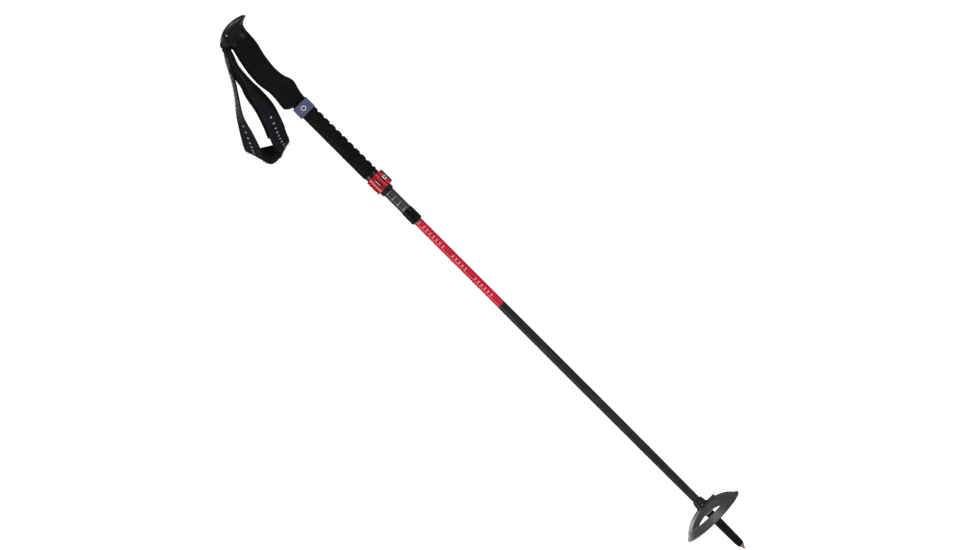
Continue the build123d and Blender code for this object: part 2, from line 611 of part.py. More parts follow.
def strap_loop():
    """Padded wrist loop, lying flat in the plane of the pole, hung on a round fold at the mouth."""
    mouth_z = CROWN_Z - MOUTH_DROP
    outer = [(MOUTH_X + x, mouth_z + z) for x, z in STRAP_OUTER]
    inner = [(MOUTH_X + x, mouth_z + z) for x, z in STRAP_INNER]
    flat = make_face(Plane.XZ * Spline(*outer, periodic=True))
    flat -= make_face(Plane.XZ * Spline(*inner, periodic=True))
    loop = extrude(flat, STRAP_THICK / 2, both=True)
    fold = Pos(MOUTH_X, 0, mouth_z) * Rot(90, 0, 0) * Cylinder(FOLD_R, 2 * WEB_HALF_WIDTH)
    drop = math.hypot(STRAP_OUTER[1][0], STRAP_OUTER[1][1])
    lean = math.degrees(math.atan2(STRAP_OUTER[1][0], STRAP_OUTER[1][1]))
    neck = Pos(MOUTH_X, 0, mouth_z) * Rot(0, lean, 0) * Pos(0, 0, drop * 0.35)
    neck = neck * Box(WEB_THICK, WEB_HALF_WIDTH, drop * 0.7)
    return loop + fold + neck


def main():
    os.makedirs("parts", exist_ok=True)
    put(upper_tube(), "upper_tube")
    put(grip_body(), "grip_body")
    put(grip_head(), "grip_head")
    put(head_cap(), "head_cap")
    put(strap_pin(), "strap_pin")
    put(strap_end(), "strap_end")
    put(strap_loop(), "strap_loop")
    put(foam_sleeve(), "foam_sleeve")
    put(keeper_band(), "keeper_band")
    put(clamp_ring(), "clamp_ring")
    put(clamp_body(), "clamp_body")
    put(catch_pin(), "catch_pin")
    put(clamp_lever(), "clamp_lever")
    put(lever_pin(), "lever_pin")
    put(barrel_nut(), "barrel_nut")
    put(clamp_screw(), "clamp_screw")
    put(adjust_tube(), "adjust_tube")
    put(end_collar(), "end_collar")
    put(cord_anchor(CLAMP_Z + ADJUST_OVERLAP - ANCHOR_LENGTH, ADJUST_BORE), "upper_cord_anchor")
    put(cord_knot(CLAMP_Z + ADJUST_OVERLAP + KNOT_R), "upper_cord_knot")
    put(red_tube(), "red_tube")
    put(red_tube_plug(), "red_tube_plug")
    put(lock_button(), "lock_button")
    put(button_spring(), "button_spring")
    put(middle_tube(), "middle_tube")
    for name, joint_z, way in (("upper", UPPER_JOINT_Z, 1), ("lower", LOWER_JOINT_Z, -1)):
        put(ferrule(joint_z, way), f"{name}_ferrule")
        put(joint_plug(joint_z, way), f"{name}_plug")
    put(tension_cord(), "tension_cord")
    put(lower_tube(), "lower_tube")
    put(cord_anchor(LOWER_ANCHOR_Z, LOWER_END_R - LOWER_END_WALL), "lower_cord_anchor")
    put(cord_knot(LOWER_ANCHOR_Z - KNOT_R), "lower_cord_knot")
    put(tip_holder(), "tip_holder")
    put(basket_clip(), "basket_clip")
    put(basket(), "basket")
    put(tip_insert(), "tip_insert")
    put(carbide_point(), "carbide_point")


main()
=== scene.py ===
# %% [markdown]
# # A folding ski pole, dressed for a close look
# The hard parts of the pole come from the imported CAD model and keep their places. This lesson adds the
# light and the camera, models the soft and moulded pieces again with more shape than the plain solids
# have, and gives every surface a finish made from nodes.
# Everything is in metres: +Z runs up the shaft from the point of the tip, the beak of the grip points
# to +X, and the wrist strap hangs on the -X side.

import json
import math

import bmesh
import bpy
from mathutils import Matrix, Vector


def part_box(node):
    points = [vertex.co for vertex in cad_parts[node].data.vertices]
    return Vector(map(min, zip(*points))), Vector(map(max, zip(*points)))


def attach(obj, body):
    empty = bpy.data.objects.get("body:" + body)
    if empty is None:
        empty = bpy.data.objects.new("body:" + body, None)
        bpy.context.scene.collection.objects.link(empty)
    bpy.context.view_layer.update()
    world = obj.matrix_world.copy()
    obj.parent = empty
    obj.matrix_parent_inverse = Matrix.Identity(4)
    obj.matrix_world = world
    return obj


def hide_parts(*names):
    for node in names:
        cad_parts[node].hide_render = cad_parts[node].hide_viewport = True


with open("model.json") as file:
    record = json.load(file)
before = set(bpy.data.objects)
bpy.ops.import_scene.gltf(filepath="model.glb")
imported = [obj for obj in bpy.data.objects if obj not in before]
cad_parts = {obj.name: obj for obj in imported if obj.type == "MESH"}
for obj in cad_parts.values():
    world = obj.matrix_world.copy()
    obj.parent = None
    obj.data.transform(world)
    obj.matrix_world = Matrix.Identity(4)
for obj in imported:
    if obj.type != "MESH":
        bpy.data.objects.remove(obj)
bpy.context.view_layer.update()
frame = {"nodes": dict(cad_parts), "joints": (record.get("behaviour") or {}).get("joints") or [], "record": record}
MM = 0.001

# %% [markdown]
# ## Places taken from the frame
# Each piece has to land on the CAD node that it dresses. The node boxes give every height and radius, so
# no place is typed in twice, and a longer pole would still come out right.

# %% Heights and radii
def box(node):
    low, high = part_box(node)
    return Vector(low), Vector(high)


def across(node):
    """Half of a node's size along Y, which is its radius for a round piece."""
    low, high = box(node)
    return (high.y - low.y) / 2


FOAM_LOW = box("foam_sleeve")[0].z
GRIP_LOW = box("grip_body")[0].z
GRIP_HIGH = box("grip_body")[1].z
BAND_LOW, BAND_HIGH = box("keeper_band")[0].z, box("keeper_band")[1].z
CROWN = box("head_cap")[1].z
FOAM_R = across("foam_sleeve")
PIVOT = next(Vector(j["pos_m"]) for j in frame["joints"] if j["name"] == "strap_swing")
print("grip", round(GRIP_LOW, 4), "to", round(GRIP_HIGH, 4), "crown", round(CROWN, 4), "pivot", tuple(PIVOT))

# %% [markdown]
# ## Camera
# The pole is long and thin, so it is seen corner to corner: the camera looks along +Y from a little above
# and is rolled by 45 degrees. A long lens keeps the shaft straight and both ends nearly the same size.
# The roll is the last turn, about the camera's own line of sight, so the aim doesn't change.

# %% Camera
AIM = Vector((17.3, 0, 533.0)) * MM
CAMERA_DISTANCE = 4.0
FRAME_WIDTH = 1.3752
SENSOR = 36.0
ELEVATION = math.radians(3.5)
ROLL = math.radians(-45.0)

camera_data = bpy.data.cameras.new("camera")
camera_data.sensor_width = SENSOR
camera_data.lens = SENSOR * CAMERA_DISTANCE / FRAME_WIDTH
camera_data.clip_end = 100
camera = bpy.data.objects.new("camera", camera_data)
bpy.context.scene.collection.objects.link(camera)
sight = Vector((0, math.cos(ELEVATION), -math.sin(ELEVATION)))
camera.location = AIM - sight * CAMERA_DISTANCE
camera.rotation_mode = "QUATERNION"
level = Matrix.Rotation(math.pi / 2 - ELEVATION, 3, "X")
camera.rotation_quaternion = (level @ Matrix.Rotation(ROLL, 3, "Z")).to_quaternion()
bpy.context.scene.camera = camera
print("lens", round(camera_data.lens, 1), "mm at", [round(v, 3) for v in camera.location])

# %% [markdown]
# ## Light
# Dark foam and webbing only show their shape in the reflections of large soft lamps. One broad lamp stands
# on each side of the camera, one hangs above, and a narrow one behind draws a bright line down the tubes.
# The world is white, so the floor and the background run into each other without an edge. The camera sees
# it much brighter than it shines. The Standard view transform leaves that white as it is.

# %% Lamps and world
def lamp(name, place, aim, size, power):
    data = bpy.data.lights.new(name, "AREA")
    data.shape = "RECTANGLE"
    data.size, data.size_y = size
    data.energy = power
    obj = bpy.data.objects.new(name, data)
    bpy.context.scene.collection.objects.link(obj)
    obj.location = place
    obj.rotation_mode = "QUATERNION"
    obj.rotation_quaternion = (Vector(aim) - Vector(place)).to_track_quat("-Z", "Y")


lamp("lamp_beak_side", (1.5, -1.6, 1.5), (0, 0, 0.6), (0.5, 1.6), 22)
lamp("lamp_strap_side", (-1.8, -0.9, 1.0), (0, 0, 0.6), (0.4, 1.6), 20)
lamp("lamp_above", (0.2, -0.5, 2.6), (0, 0, 0.7), (0.8, 0.8), 18)
lamp("lamp_behind", (-0.6, 1.7, 1.1), (0, 0, 0.6), (0.3, 1.6), 16)

world = bpy.data.worlds.new("white_room")
bpy.context.scene.world = world
world.use_nodes = True
world_tree = world.node_tree
bpy.context.scene.view_settings.view_transform = "Standard"
SEEN, LIT = 1.05, 0.16


def two_strengths(tree):
    """A bright white for the camera and a much weaker one for light and reflections."""
    sight_ray = tree.nodes.new("ShaderNodeLightPath").outputs["Is Camera Ray"]
    strength = tree.nodes.new("ShaderNodeMapRange")
    strength.inputs["To Min"].default_value = LIT
    strength.inputs["To Max"].default_value = SEEN
    tree.links.new(sight_ray, strength.inputs["Value"])
    return strength.outputs["Result"]


background = world_tree.nodes["Background"]
background.inputs["Color"].default_value = (1, 1, 1, 1)
world_tree.links.new(two_strengths(world_tree), background.inputs["Strength"])

# %% [markdown]
# ## Floor
# A wide disc just under the tip is enough of a floor. It is a circle with a cap, and its finish is a white
# with a very faint cloud in it, like painted card.

# %% Helpers that turn a bmesh into a finished piece
def finished(bm, name, angle=35.0):
    """A mesh object at the origin from a bmesh, smooth except at edges sharper than the angle."""
    mesh = bpy.data.meshes.new(name)
    bm.to_mesh(mesh)
    bm.free()
    for face in mesh.polygons:
        face.use_smooth = True
    mesh.set_sharp_from_angle(angle=math.radians(angle))
    obj = bpy.data.objects.new(name, mesh)
    bpy.context.scene.collection.objects.link(obj)
    return obj


def outward(bm):
    """Merges doubles and turns every face outwards."""
    bmesh.ops.remove_doubles(bm, verts=bm.verts, dist=1e-6)
    bmesh.ops.recalc_face_normals(bm, faces=bm.faces)


floor_bm = bmesh.new()
bmesh.ops.create_circle(floor_bm, cap_ends=True, radius=14, segments=96)
bmesh.ops.translate(floor_bm, verts=floor_bm.verts, vec=(0, 0, -0.0004))
floor = finished(floor_bm, "floor")

# %% [markdown]
# ## Node groups shared by the finishes
# Many of the pole's finishes have the same kinds of detail: a fine grain, a scatter of lighter dust and
# rubbed spots, long streaks in wound carbon, and a woven surface. Each is built once as a group with named
# inputs, and each material places it with its own values. A group only puts out values and colours, and
# the Principled shader stays in the material.

# %% Small helpers for nodes
def socket(tree, name, kind, out=False, value=None):
    way = "OUTPUT" if out else "INPUT"
    made = tree.interface.new_socket(name=name, in_out=way, socket_type=f"NodeSocket{kind}")
    if value is not None:
        made.default_value = value
    return made


def node(tree, kind, **settings):
    made = tree.nodes.new(f"ShaderNode{kind}")
    for name, value in settings.items():
        setattr(made, name, value)
    return made


def math_node(tree, operation, a, b=None):
    """A Math node whose inputs are links or numbers; returns its output."""
    made = node(tree, "Math", operation=operation)
    for place, value in enumerate((a, b)):
        if value is None:
            continue
        if isinstance(value, (int, float)):
            made.inputs[place].default_value = value
        else:
            tree.links.new(value, made.inputs[place])
    return made.outputs[0]


def mixed(tree, factor, a, b):
    """A colour mix; factor is a link, and each colour is a link or a tuple."""
    made = node(tree, "Mix", data_type="RGBA")
    tree.links.new(factor, made.inputs["Factor"])
    for name, value in (("A", a), ("B", b)):
        place = [s for s in made.inputs if s.name == name and s.type == "RGBA"][0]
        if isinstance(value, tuple):
            place.default_value = value
        else:
            tree.links.new(value, place)
    return [s for s in made.outputs if s.type == "RGBA"][0]


def ranged(tree, value, low, high, to_low=0.0, to_high=1.0):
    made = node(tree, "MapRange")
    tree.links.new(value, made.inputs["Value"])
    for name, number in (("From Min", low), ("From Max", high), ("To Min", to_low), ("To Max", to_high)):
        made.inputs[name].default_value = number
    return made.outputs["Result"]


def new_group(name, inputs, outputs):
    tree = bpy.data.node_groups.new(name, "ShaderNodeTree")
    for label, kind, value in inputs:
        socket(tree, label, kind, value=value)
    for label, kind in outputs:
        socket(tree, label, kind, out=True)
    return tree, tree.nodes.new("NodeGroupInput"), tree.nodes.new("NodeGroupOutput")


# %% [markdown]
# ### Fine grain
# Moulded plastic, foam and paint are never quite even. Two noises of different size give a height for the
# bump and a slow drift for colour and roughness.

# %% Grain group
GRAIN, g_in, g_out = new_group(
    "fine_grain", [("Vector", "Vector", None), ("Scale", "Float", 900.0), ("Drift Scale", "Float", 40.0)],
    [("Height", "Float"), ("Drift", "Float")])
fine = node(GRAIN, "TexNoise")
fine.inputs["Detail"].default_value = 3.0
slow = node(GRAIN, "TexNoise")
GRAIN.links.new(g_in.outputs["Vector"], fine.inputs["Vector"])
GRAIN.links.new(g_in.outputs["Scale"], fine.inputs["Scale"])
GRAIN.links.new(g_in.outputs["Vector"], slow.inputs["Vector"])
GRAIN.links.new(g_in.outputs["Drift Scale"], slow.inputs["Scale"])
GRAIN.links.new(fine.outputs["Fac"], g_out.inputs["Height"])
GRAIN.links.new(slow.outputs["Fac"], g_out.inputs["Drift"])

# %% [markdown]
# ### Rubbed spots
# Use leaves small lighter spots and scuffs. A noise cut off near its top gives islands, and a second noise
# breaks their edges.

# %% Scuff group
SCUFF, s_in, s_out = new_group(
    "scuffs", [("Vector", "Vector", None), ("Scale", "Float", 120.0), ("Amount", "Float", 0.3)],
    [("Mask", "Float")])
spots = node(SCUFF, "TexNoise")
spots.inputs["Detail"].default_value = 8.0
spots.inputs["Roughness"].default_value = 0.7
SCUFF.links.new(s_in.outputs["Vector"], spots.inputs["Vector"])
SCUFF.links.new(s_in.outputs["Scale"], spots.inputs["Scale"])
islands = ranged(SCUFF, spots.outputs["Fac"], 0.58, 0.74)
SCUFF.links.new(math_node(SCUFF, "MULTIPLY", islands, s_in.outputs["Amount"]), s_out.inputs["Mask"])

# %% [markdown]
# ### Carbon streaks
# The dark tubes are rolled from carbon whose fibres run along the tube. Under clear lacquer they show as
# long, thin, slightly lighter streaks. A noise squeezed across and stretched along Z makes them.

# %% Streak group
STREAK, k_in, k_out = new_group(
    "long_streaks", [("Vector", "Vector", None), ("Fineness", "Float", 900.0)],
    [("Streak", "Float"), ("Height", "Float")])
stretch = node(STREAK, "VectorMath", operation="MULTIPLY")
stretch.inputs[1].default_value = (1.0, 1.0, 0.035)
STREAK.links.new(k_in.outputs["Vector"], stretch.inputs[0])
fibres = node(STREAK, "TexNoise")
fibres.inputs["Detail"].default_value = 4.0
STREAK.links.new(stretch.outputs["Vector"], fibres.inputs["Vector"])
STREAK.links.new(k_in.outputs["Fineness"], fibres.inputs["Scale"])
STREAK.links.new(ranged(STREAK, fibres.outputs["Fac"], 0.42, 0.66), k_out.inputs["Streak"])
STREAK.links.new(fibres.outputs["Fac"], k_out.inputs["Height"])

# %% [markdown]
# ### Weave
# Webbing and hook tape are woven. Two sine waves across each other, one for the warp and one for the weft,
# taken from the cloth's own UV map, follow every fold of the strap. The UV maps are in metres, so one
# thread has the same width on every piece.

# %% Weave group
WEAVE, w_in, w_out = new_group(
    "weave", [("UV", "Vector", None), ("Threads", "Float", 1400.0)], [("Height", "Float"), ("Gap", "Float")])
split = node(WEAVE, "SeparateXYZ")
WEAVE.links.new(w_in.outputs["UV"], split.inputs[0])
turns = math_node(WEAVE, "MULTIPLY", w_in.outputs["Threads"], 2 * math.pi)
warp = math_node(WEAVE, "SINE", math_node(WEAVE, "MULTIPLY", split.outputs["X"], turns))
weft = math_node(WEAVE, "SINE", math_node(WEAVE, "MULTIPLY", split.outputs["Y"], turns))
over = math_node(WEAVE, "MULTIPLY", warp, weft)
thread = math_node(WEAVE, "ABSOLUTE", over)
WEAVE.links.new(thread, w_out.inputs["Height"])
WEAVE.links.new(ranged(WEAVE, thread, 0.0, 0.22, 1.0, 0.0), w_out.inputs["Gap"])
print("groups", [g.name for g in bpy.data.node_groups])

# %% [markdown]
# ## Finishes
# A finish starts from one helper that makes a material with a Principled shader and hands back its tree,
# so that each finish below only has to say what is its own: colours, how its roughness moves, and what
# feeds the bump.

# %% Material helper
def finish(name, metallic=0.0, coat=0.0, coat_roughness=0.1, specular=0.5, sheen=0.0, uses_uv=False):
    material = bpy.data.materials.new(name)
    material.use_nodes = True
    tree = material.node_tree
    shader = tree.nodes["Principled BSDF"]
    shader.inputs["Metallic"].default_value = metallic
    shader.inputs["Coat Weight"].default_value = coat
    shader.inputs["Coat Roughness"].default_value = coat_roughness
    shader.inputs["Specular IOR Level"].default_value = specular
    shader.inputs["Sheen Weight"].default_value = sheen
    shader.inputs["Sheen Roughness"].default_value = 0.5
    if uses_uv:
        place = node(tree, "UVMap", uv_map="cloth").outputs["UV"]
    else:
        place = node(tree, "TexCoord").outputs["Object"]
    return material, tree, shader, place


def grouped(tree, group, place, **values):
    """Places a node group, fed with the coordinates; each value sets the input with that name."""
    made = node(tree, "Group", node_tree=group)
    tree.links.new(place, made.inputs[0])
    for label, number in values.items():
        made.inputs[label.replace("_", " ")].default_value = number
    return made.outputs


def bump(tree, shader, height, distance, strength=1.0):
    made = node(tree, "Bump")
    made.inputs["Distance"].default_value = distance
    made.inputs["Strength"].default_value = strength
    tree.links.new(height, made.inputs["Height"])
    tree.links.new(made.outputs["Normal"], shader.inputs["Normal"])


def moulded(name, colour, paler, roughness, grain=900.0, depth=0.00006, scuffed=0.25, **shader_values):
    """Solid-coloured plastic, foam or metal: a drifting colour, rubbed spots and a fine bump."""
    material, tree, shader, place = finish(name, **shader_values)
    surface = grouped(tree, GRAIN, place, Scale=grain)
    scuff = grouped(tree, SCUFF, place, Amount=scuffed)
    deeper = tuple(0.75 * c for c in colour[:3]) + (1,)
    base = mixed(tree, ranged(tree, surface["Drift"], 0.35, 0.65), colour, deeper)
    tree.links.new(mixed(tree, scuff["Mask"], base, paler), shader.inputs["Base Color"])
    low, high = roughness
    tree.links.new(ranged(tree, surface["Drift"], 0.3, 0.7, low, high), shader.inputs["Roughness"])
    bump(tree, shader, surface["Height"], depth)
    return material


# %% [markdown]
# ### Foam, plastic and metal
# The hand grip is dense foam: nearly black, dull, with a fine open-cell grain. The sleeve below is the same
# foam. The hard plastics are smoother and show a soft shine. Metals are bare steel,
# brass, hard carbide and red anodised aluminium, which is metal with a clear coloured skin.

# %% Plain finishes
FINISHES = {
    "grip_foam": moulded("grip_foam", (0.0022, 0.0022, 0.003, 1), (0.006, 0.006, 0.008, 1), (0.6, 0.74),
                         grain=1500, depth=0.0001, scuffed=0.3, specular=0.1),
    "head_plastic": moulded("head_plastic", (0.0025, 0.0025, 0.0032, 1), (0.009, 0.009, 0.011, 1), (0.32, 0.42),
                            grain=1200, specular=0.16),
    "cap_plastic": moulded("cap_plastic", (0.004, 0.0043, 0.006, 1), (0.03, 0.031, 0.04, 1), (0.3, 0.4),
                           grain=1300, specular=0.45),
    "pin_end": moulded("pin_end", (0.7, 0.7, 0.66, 1), (0.8, 0.8, 0.8, 1), (0.4, 0.5), metallic=0.4),
    "clamp_plastic": moulded("clamp_plastic", (0.0035, 0.0035, 0.004, 1), (0.02, 0.02, 0.02, 1),
                             (0.34, 0.46), specular=0.22),
    "ring_plastic": moulded("ring_plastic", (0.006, 0.006, 0.007, 1), (0.03, 0.03, 0.032, 1),
                            (0.24, 0.34), specular=0.4),
    "black_plastic": moulded("black_plastic", (0.0022, 0.0021, 0.0026, 1), (0.014, 0.013, 0.014, 1),
                             (0.3, 0.4), specular=0.12),
    "basket_plastic": moulded("basket_plastic", (0.05, 0.046, 0.043, 1), (0.13, 0.125, 0.12, 1), (0.4, 0.52),
                              grain=700, depth=0.0001, scuffed=0.35),
    "hub_plastic": moulded("hub_plastic", (0.004, 0.004, 0.005, 1), (0.03, 0.03, 0.03, 1), (0.25, 0.36), specular=0.4),
    "stainless": moulded("stainless", (0.62, 0.62, 0.6, 1), (0.8, 0.8, 0.8, 1), (0.2, 0.34), metallic=1.0),
    "spring_steel": moulded("spring_steel", (0.45, 0.46, 0.48, 1), (0.6, 0.6, 0.6, 1), (0.25, 0.35), metallic=1.0),
    "red_anodised": moulded("red_anodised", (0.47, 0.002, 0.018, 1), (0.5, 0.03, 0.05, 1), (0.26, 0.34), grain=1600,
                            depth=0.00001, scuffed=0.08, metallic=0.3, coat=0.3),
    "ferrule_alloy": moulded("ferrule_alloy", (0.5, 0.5, 0.5, 1), (0.7, 0.7, 0.7, 1), (0.25, 0.4), metallic=1.0),
    "grip_tube": moulded("grip_tube", (0.12, 0.12, 0.12, 1), (0.4, 0.4, 0.4, 1), (0.3, 0.42), metallic=0.8),
    "brass_insert": moulded("brass_insert", (0.42, 0.27, 0.12, 1), (0.6, 0.45, 0.25, 1), (0.25, 0.4), metallic=1.0,
                            scuffed=0.4),
    "carbide": moulded("carbide", (0.03, 0.03, 0.032, 1), (0.3, 0.3, 0.3, 1), (0.3, 0.45), metallic=1.0),
    "cord_plastic": moulded("cord_plastic", (0.05, 0.05, 0.055, 1), (0.2, 0.2, 0.2, 1), (0.5, 0.65)),
}
print(len(FINISHES), "plain finishes")

# %% [markdown]
# ### Carbon tubes
# The marked tube and the two lower tubes are carbon with long streaks. The marked tube also carries the
# length scale: pale cross lines a little over a centimetre apart, without numbers, printed on the -Y side.
# The lines carry painted shade: they are palest on the -X side of the tube and darker towards +X.

# %% Carbon finishes
def carbon(name, dark, light, coat=0.06, dusty=0.12):
    material, tree, shader, place = finish(name, coat=coat, coat_roughness=0.16, specular=0.18)
    streaks = grouped(tree, STREAK, place)
    scuff = grouped(tree, SCUFF, place, Amount=dusty)
    base = mixed(tree, streaks["Streak"], dark, light)
    colour = mixed(tree, scuff["Mask"], base, (0.09, 0.09, 0.09, 1))
    tree.links.new(ranged(tree, streaks["Streak"], 0, 1, 0.34, 0.5), shader.inputs["Roughness"])
    bump(tree, shader, streaks["Height"], 0.00002)
    return material, tree, shader, place, colour


dark_carbon, tree, shader, place, colour = carbon(
    "dark_carbon", (0.006, 0.0052, 0.0055, 1), (0.034, 0.0305, 0.03, 1))
tree.links.new(colour, shader.inputs["Base Color"])
FINISHES["dark_carbon"] = dark_carbon


def within(tree, value, middle, half):
    """1 where value is within half of middle, else 0."""
    away = math_node(tree, "ABSOLUTE", math_node(tree, "SUBTRACT", value, middle))
    return math_node(tree, "LESS_THAN", away, half)


def repeat(tree, value, pitch, start, half):
    """A row of bars: 1 within half of every start + n * pitch."""
    shifted = math_node(tree, "SUBTRACT", value, start - pitch / 2)
    wrapped = node(tree, "Math", operation="WRAP")
    tree.links.new(shifted, wrapped.inputs[0])
    wrapped.inputs[1].default_value = pitch
    wrapped.inputs[2].default_value = 0.0
    return within(tree, wrapped.outputs[0], pitch / 2, half)


def times(tree, *masks):
    product = masks[0]
    for mask in masks[1:]:
        product = math_node(tree, "MULTIPLY", product, mask)
    return product


marked, tree, shader, place, colour = carbon(
    "marked_carbon", (0.045, 0.042, 0.04, 1), (0.056, 0.053, 0.05, 1), dusty=0.05)
parts = node(tree, "SeparateXYZ")
tree.links.new(place, parts.inputs[0])
x, y, z = parts.outputs
front = math_node(tree, "LESS_THAN", y, 0.0)
MARK_PITCH = 0.0104
MARK_START = box("end_collar")[1].z + 0.0032
line_heights = repeat(tree, z, MARK_PITCH, MARK_START, 0.0005)
lines = times(tree, line_heights, within(tree, x, -0.0008, 0.0044), front)
# Painted shade on the printed lines: full strength on the -X side of the tube, fading to about a third towards +X.
painted_shade_on_marks = ranged(tree, x, -0.006, 0.0045, 1.0, 0.35)
ink_with_painted_shade = math_node(tree, "MULTIPLY", lines, painted_shade_on_marks)
tree.links.new(mixed(tree, ink_with_painted_shade, colour, (0.45, 0.45, 0.44, 1)), shader.inputs["Base Color"])
FINISHES["marked_carbon"] = marked

# %% [markdown]
# ### Red tube
# The red section is lacquered. A row of small pale bars is printed along it, in three groups, as a plain
# decoration in place of words. The bars follow the tube because they are masks on its own coordinates.

# %% Red lacquer with bars
red, tree, shader, place = finish("red_paint", coat=0.25, coat_roughness=0.15, specular=0.3)
surface = grouped(tree, GRAIN, place, Scale=1400.0)
scuff = grouped(tree, SCUFF, place, Amount=0.18)
parts = node(tree, "SeparateXYZ")
tree.links.new(place, parts.inputs[0])
x, y, z = parts.outputs
RED_LOW, RED_HIGH = box("middle_tube")[1].z, box("end_collar")[0].z
span = RED_HIGH - RED_LOW
front = math_node(tree, "LESS_THAN", y, 0.0)
pieces_of_row = []
for share, half in ((0.80, 0.13), (0.50, 0.09), (0.21, 0.12)):
    pieces_of_row.append(within(tree, z, RED_LOW + share * span, half * span))
first_two = math_node(tree, "MAXIMUM", pieces_of_row[0], pieces_of_row[1])
groups = math_node(tree, "MAXIMUM", first_two, pieces_of_row[2])
BAR_PITCH, BAR_HALF = 0.0064, 0.0009
row = times(tree, repeat(tree, z, BAR_PITCH, RED_LOW, BAR_HALF), within(tree, x, 0.0, 0.0017), front, groups)
base = mixed(tree, ranged(tree, surface["Drift"], 0.35, 0.65), (0.60, 0.0045, 0.03, 1), (0.5, 0.004, 0.025, 1))
worn = mixed(tree, scuff["Mask"], base, (0.62, 0.06, 0.09, 1))
tree.links.new(mixed(tree, row, worn, (0.6, 0.42, 0.43, 1)), shader.inputs["Base Color"])
tree.links.new(ranged(tree, surface["Drift"], 0.3, 0.7, 0.3, 0.42), shader.inputs["Roughness"])
bump(tree, shader, surface["Height"], 0.00002)
FINISHES["red_paint"] = red

# %% [markdown]
# ### Woven cloth
# The strap is tight black webbing with a soft padded face, and the keeper band is slate-blue hook tape.
# Both read the weave from their UV maps and have a little sheen, which is the pale glow that fibres give
# at the edge of a fold.

# %% Cloth finishes
def cloth(name, dark, light, threads, depth, sheen=0.1, roughness=0.85):
    material, tree, shader, place = finish(name, sheen=sheen, specular=0.12, uses_uv=True)
    weave = grouped(tree, WEAVE, place, Threads=threads)
    own = node(tree, "TexCoord").outputs["Object"]
    surface = grouped(tree, GRAIN, own, Scale=500.0)
    scuff = grouped(tree, SCUFF, own, Scale=260.0, Amount=0.25)
    base = mixed(tree, weave["Gap"], light, dark)
    lint = mixed(tree, scuff["Mask"], base, tuple(1.6 * c + 0.004 for c in light[:3]) + (1,))
    uneven = ranged(tree, surface["Drift"], 0.3, 0.7, roughness - 0.08, roughness + 0.06)
    tree.links.new(uneven, shader.inputs["Roughness"])
    bump(tree, shader, weave["Height"], depth)
    return material, tree, shader, place, lint


def unprinted(made):
    """Sends a cloth's own colour to its shader, for cloth that has nothing printed on it."""
    material, tree, shader, place, colour = made
    tree.links.new(colour, shader.inputs["Base Color"])
    return material


WEB_COLOURS = (0.004, 0.004, 0.0058, 1), (0.009, 0.009, 0.0125, 1)
FINISHES["webbing"] = unprinted(cloth("webbing", *WEB_COLOURS, 1100, 0.0001, sheen=0.02))
FINISHES["strap_face"] = unprinted(cloth(
    "strap_face", (0.0012, 0.0012, 0.0016, 1), (0.0022, 0.0022, 0.003, 1), 1500, 0.00006, sheen=0.0))
FINISHES["band_fabric"] = unprinted(cloth(
    "band_fabric", (0.055, 0.062, 0.12, 1), (0.095, 0.107, 0.2, 1), 1300, 0.0001, sheen=0.05))
FINISHES["thread"] = moulded("thread", (0.012, 0.012, 0.016, 1), (0.04, 0.04, 0.05, 1), (0.6, 0.75), grain=2400)
FINISHES["pale_mark"] = moulded("pale_mark", (0.6, 0.62, 0.68, 1), (0.7, 0.7, 0.75, 1), (0.55, 0.7), grain=2000)

floor_material, tree, shader, place = finish("painted_card", specular=0.2)
cloud = node(tree, "TexNoise")
cloud.inputs["Scale"].default_value = 1.5
tree.links.new(place, cloud.inputs["Vector"])
tint = mixed(tree, cloud.outputs["Fac"], (0.92, 0.92, 0.92, 1), (0.94, 0.94, 0.94, 1))
tree.links.new(tint, shader.inputs["Base Color"])
shader.inputs["Roughness"].default_value = 0.9
tree.links.new(tint, shader.inputs["Emission Color"])
tree.links.new(two_strengths(tree), shader.inputs["Emission Strength"])
floor.data.materials.append(floor_material)

# %% [markdown]
# ### Finishes on the CAD nodes
# The record names a material slot for each node. A node that keeps its CAD shape only needs its material
# slots filled with the finish of that name.

# %% Dress the CAD nodes
SLOTS = {part["node"]: part["material_slot"] for part in frame["record"]["subparts"]}
print(len(SLOTS), "nodes have a slot")
for name, obj in frame["nodes"].items():
    wanted = SLOTS.get(name)
    if wanted in FINISHES:
        obj.data.materials.clear()
        obj.data.materials.append(FINISHES[wanted])

# %% [markdown]
# ## A stack of rings
# The grip, the head, the foam sleeve and the cap are all round-ish bodies whose section changes with
# height. Such a body could be spun, but none of these is truly round. Here one circle is capped and its
# face is extruded again and again, and after each step the new ring is placed from a formula. Every
# vertex remembers its angle in a layer, so it always knows its place in a ring.

# %% Stack helper
def stacked(heights, placed, segments=64):
    """A closed body: a capped circle extruded once for each height; placed(angle, height) gives each point."""
    bm = bmesh.new()
    bmesh.ops.create_circle(bm, cap_ends=True, radius=1, segments=segments)
    turn = bm.verts.layers.float.new("turn")
    for vert in bm.verts:
        vert[turn] = math.atan2(vert.co.y, vert.co.x)
        vert.co = placed(vert[turn], heights[0])
    bm.faces.ensure_lookup_table()
    top = bm.faces[0]
    for height in heights[1:]:
        made = bmesh.ops.extrude_face_region(bm, geom=[top])["geom"]
        for vert in (g for g in made if isinstance(g, bmesh.types.BMVert)):
            vert.co = placed(vert[turn], height)
        top = next(g for g in made if isinstance(g, bmesh.types.BMFace))
    outward(bm)
    return bm


